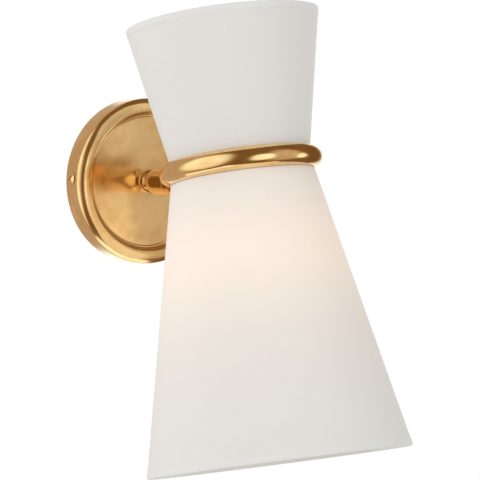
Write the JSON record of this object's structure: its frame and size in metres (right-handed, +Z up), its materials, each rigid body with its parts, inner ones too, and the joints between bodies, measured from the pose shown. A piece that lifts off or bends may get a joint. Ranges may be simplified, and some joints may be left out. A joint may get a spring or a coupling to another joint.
{
  "type": "wall light with a fabric shade",
  "caption": "Wall light with a tilting shade of two fabric cones that meet at a brass ring, on a turned stem and a round brass backplate.",
  "frame": {"origin": "centre of the backplate's open back, on the wall", "axes": "+Z up, +Y into the wall, +X along the wall; the light stands out towards -Y"},
  "size_m": [0.1846, 0.2653, 0.3331],
  "materials": {
    "antique_brass": "satin brushed antique brass under lacquer",
    "plain_brass": "raw brass",
    "zinc_steel": "zinc-plated steel",
    "earth_green": "green dyed plating",
    "fibre": "vulcanised fibre",
    "phenolic": "moulded phenolic",
    "frosted_glass": "frosted inside",
    "black_glass": "black glass insulator",
    "bulb_metal": "rolled aluminium",
    "white_wire": "white powder-coated wire",
    "shade_fabric": "plain-weave linen look, white",
    "shade_liner": "white styrene backing film"
  },
  "bodies": {
    "wall_mount": {"mounting_plate": "zinc_steel", "earth_screw": "earth_green", "backplate": "antique_brass", "side_screws": "antique_brass", "stem_flange": "antique_brass", "stem": "antique_brass", "stem_nipple": "plain_brass", "nipple_washer": "zinc_steel", "nipple_locknut": "zinc_steel", "swivel_stem_half": "antique_brass", "friction_washer": "fibre", "pivot_screw": "antique_brass", "spring_washer": "zinc_steel", "pivot_nut": "antique_brass"},
    "shade_head": {"swivel_ring_half": "antique_brass", "saddle_washer": "plain_brass", "spigot_nut": "zinc_steel", "waist_ring": "antique_brass", "shade_carrier": "zinc_steel", "carrier_screws": "zinc_steel", "carrier_nuts": "zinc_steel", "lampholder_body": "phenolic", "lampholder_ring": "phenolic", "lampholder_cap": "phenolic", "screw_shell": "plain_brass", "centre_contact": "plain_brass", "terminal_screws": "plain_brass", "bulb_glass": "frosted_glass", "bulb_cap": "bulb_metal", "bulb_insulator": "black_glass", "bulb_tip": "bulb_metal", "upper_fabric": "shade_fabric", "upper_liner": "shade_liner", "upper_edge_wire": "white_wire", "upper_hem": "shade_fabric", "upper_waist_wire": "white_wire", "lower_fabric": "shade_fabric", "lower_liner": "shade_liner", "lower_edge_wire": "white_wire", "lower_hem": "shade_fabric", "lower_waist_wire": "white_wire"}
  },
  "joints": [
    {"name": "shade_tilt", "type": "hinge", "parent": "wall_mount", "child": "shade_head", "pos_m": [0, -0.064, 0], "axis": [1, 0, 0], "range_deg": [-25, 20]}
  ]
}
